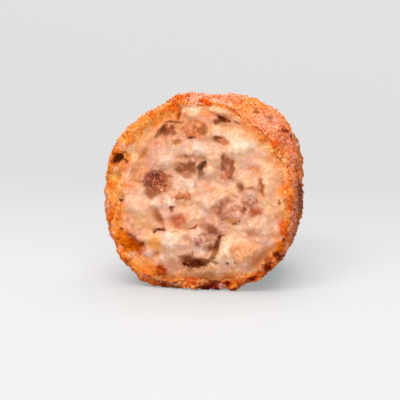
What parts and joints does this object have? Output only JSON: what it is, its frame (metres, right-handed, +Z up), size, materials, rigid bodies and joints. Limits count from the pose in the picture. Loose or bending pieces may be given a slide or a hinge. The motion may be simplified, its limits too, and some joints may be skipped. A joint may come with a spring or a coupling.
{
  "type": "half croquette",
  "caption": "Breadcrumbed oval croquette cut across its middle and lying on its side, with its closed end behind and its creamy filling and shreds of meat showing at the cut.",
  "frame": {"origin": "on the flat side that the croquette rests on, under its centre of mass", "axes": "+X is to the right of the cut face as the viewer sees it, +Y runs from the cut face to the closed end, +Z is up"},
  "size_m": [0.0306, 0.0288, 0.0305],
  "materials": {
    "crumb": "rough golden-brown fried breadcrumbs",
    "cream": "moist creamy filling",
    "meat": "moist braised meat",
    "dark_meat": "dark browned meat"
  },
  "bodies": {
    "root": {"crust": "crumb", "filling": "cream", "meat_dark_left": "dark_meat", "meat_top": "meat", "meat_top_left": "meat", "meat_upper_middle": "meat", "meat_upper_right": "meat", "meat_small_upper": "meat", "meat_right_low": "meat", "meat_right_high": "meat", "meat_flake_middle": "meat", "meat_low_middle": "meat", "meat_bottom": "meat", "meat_bottom_dark": "dark_meat", "meat_slab": "meat", "meat_right_small": "meat"}
  },
  "joints": []
}
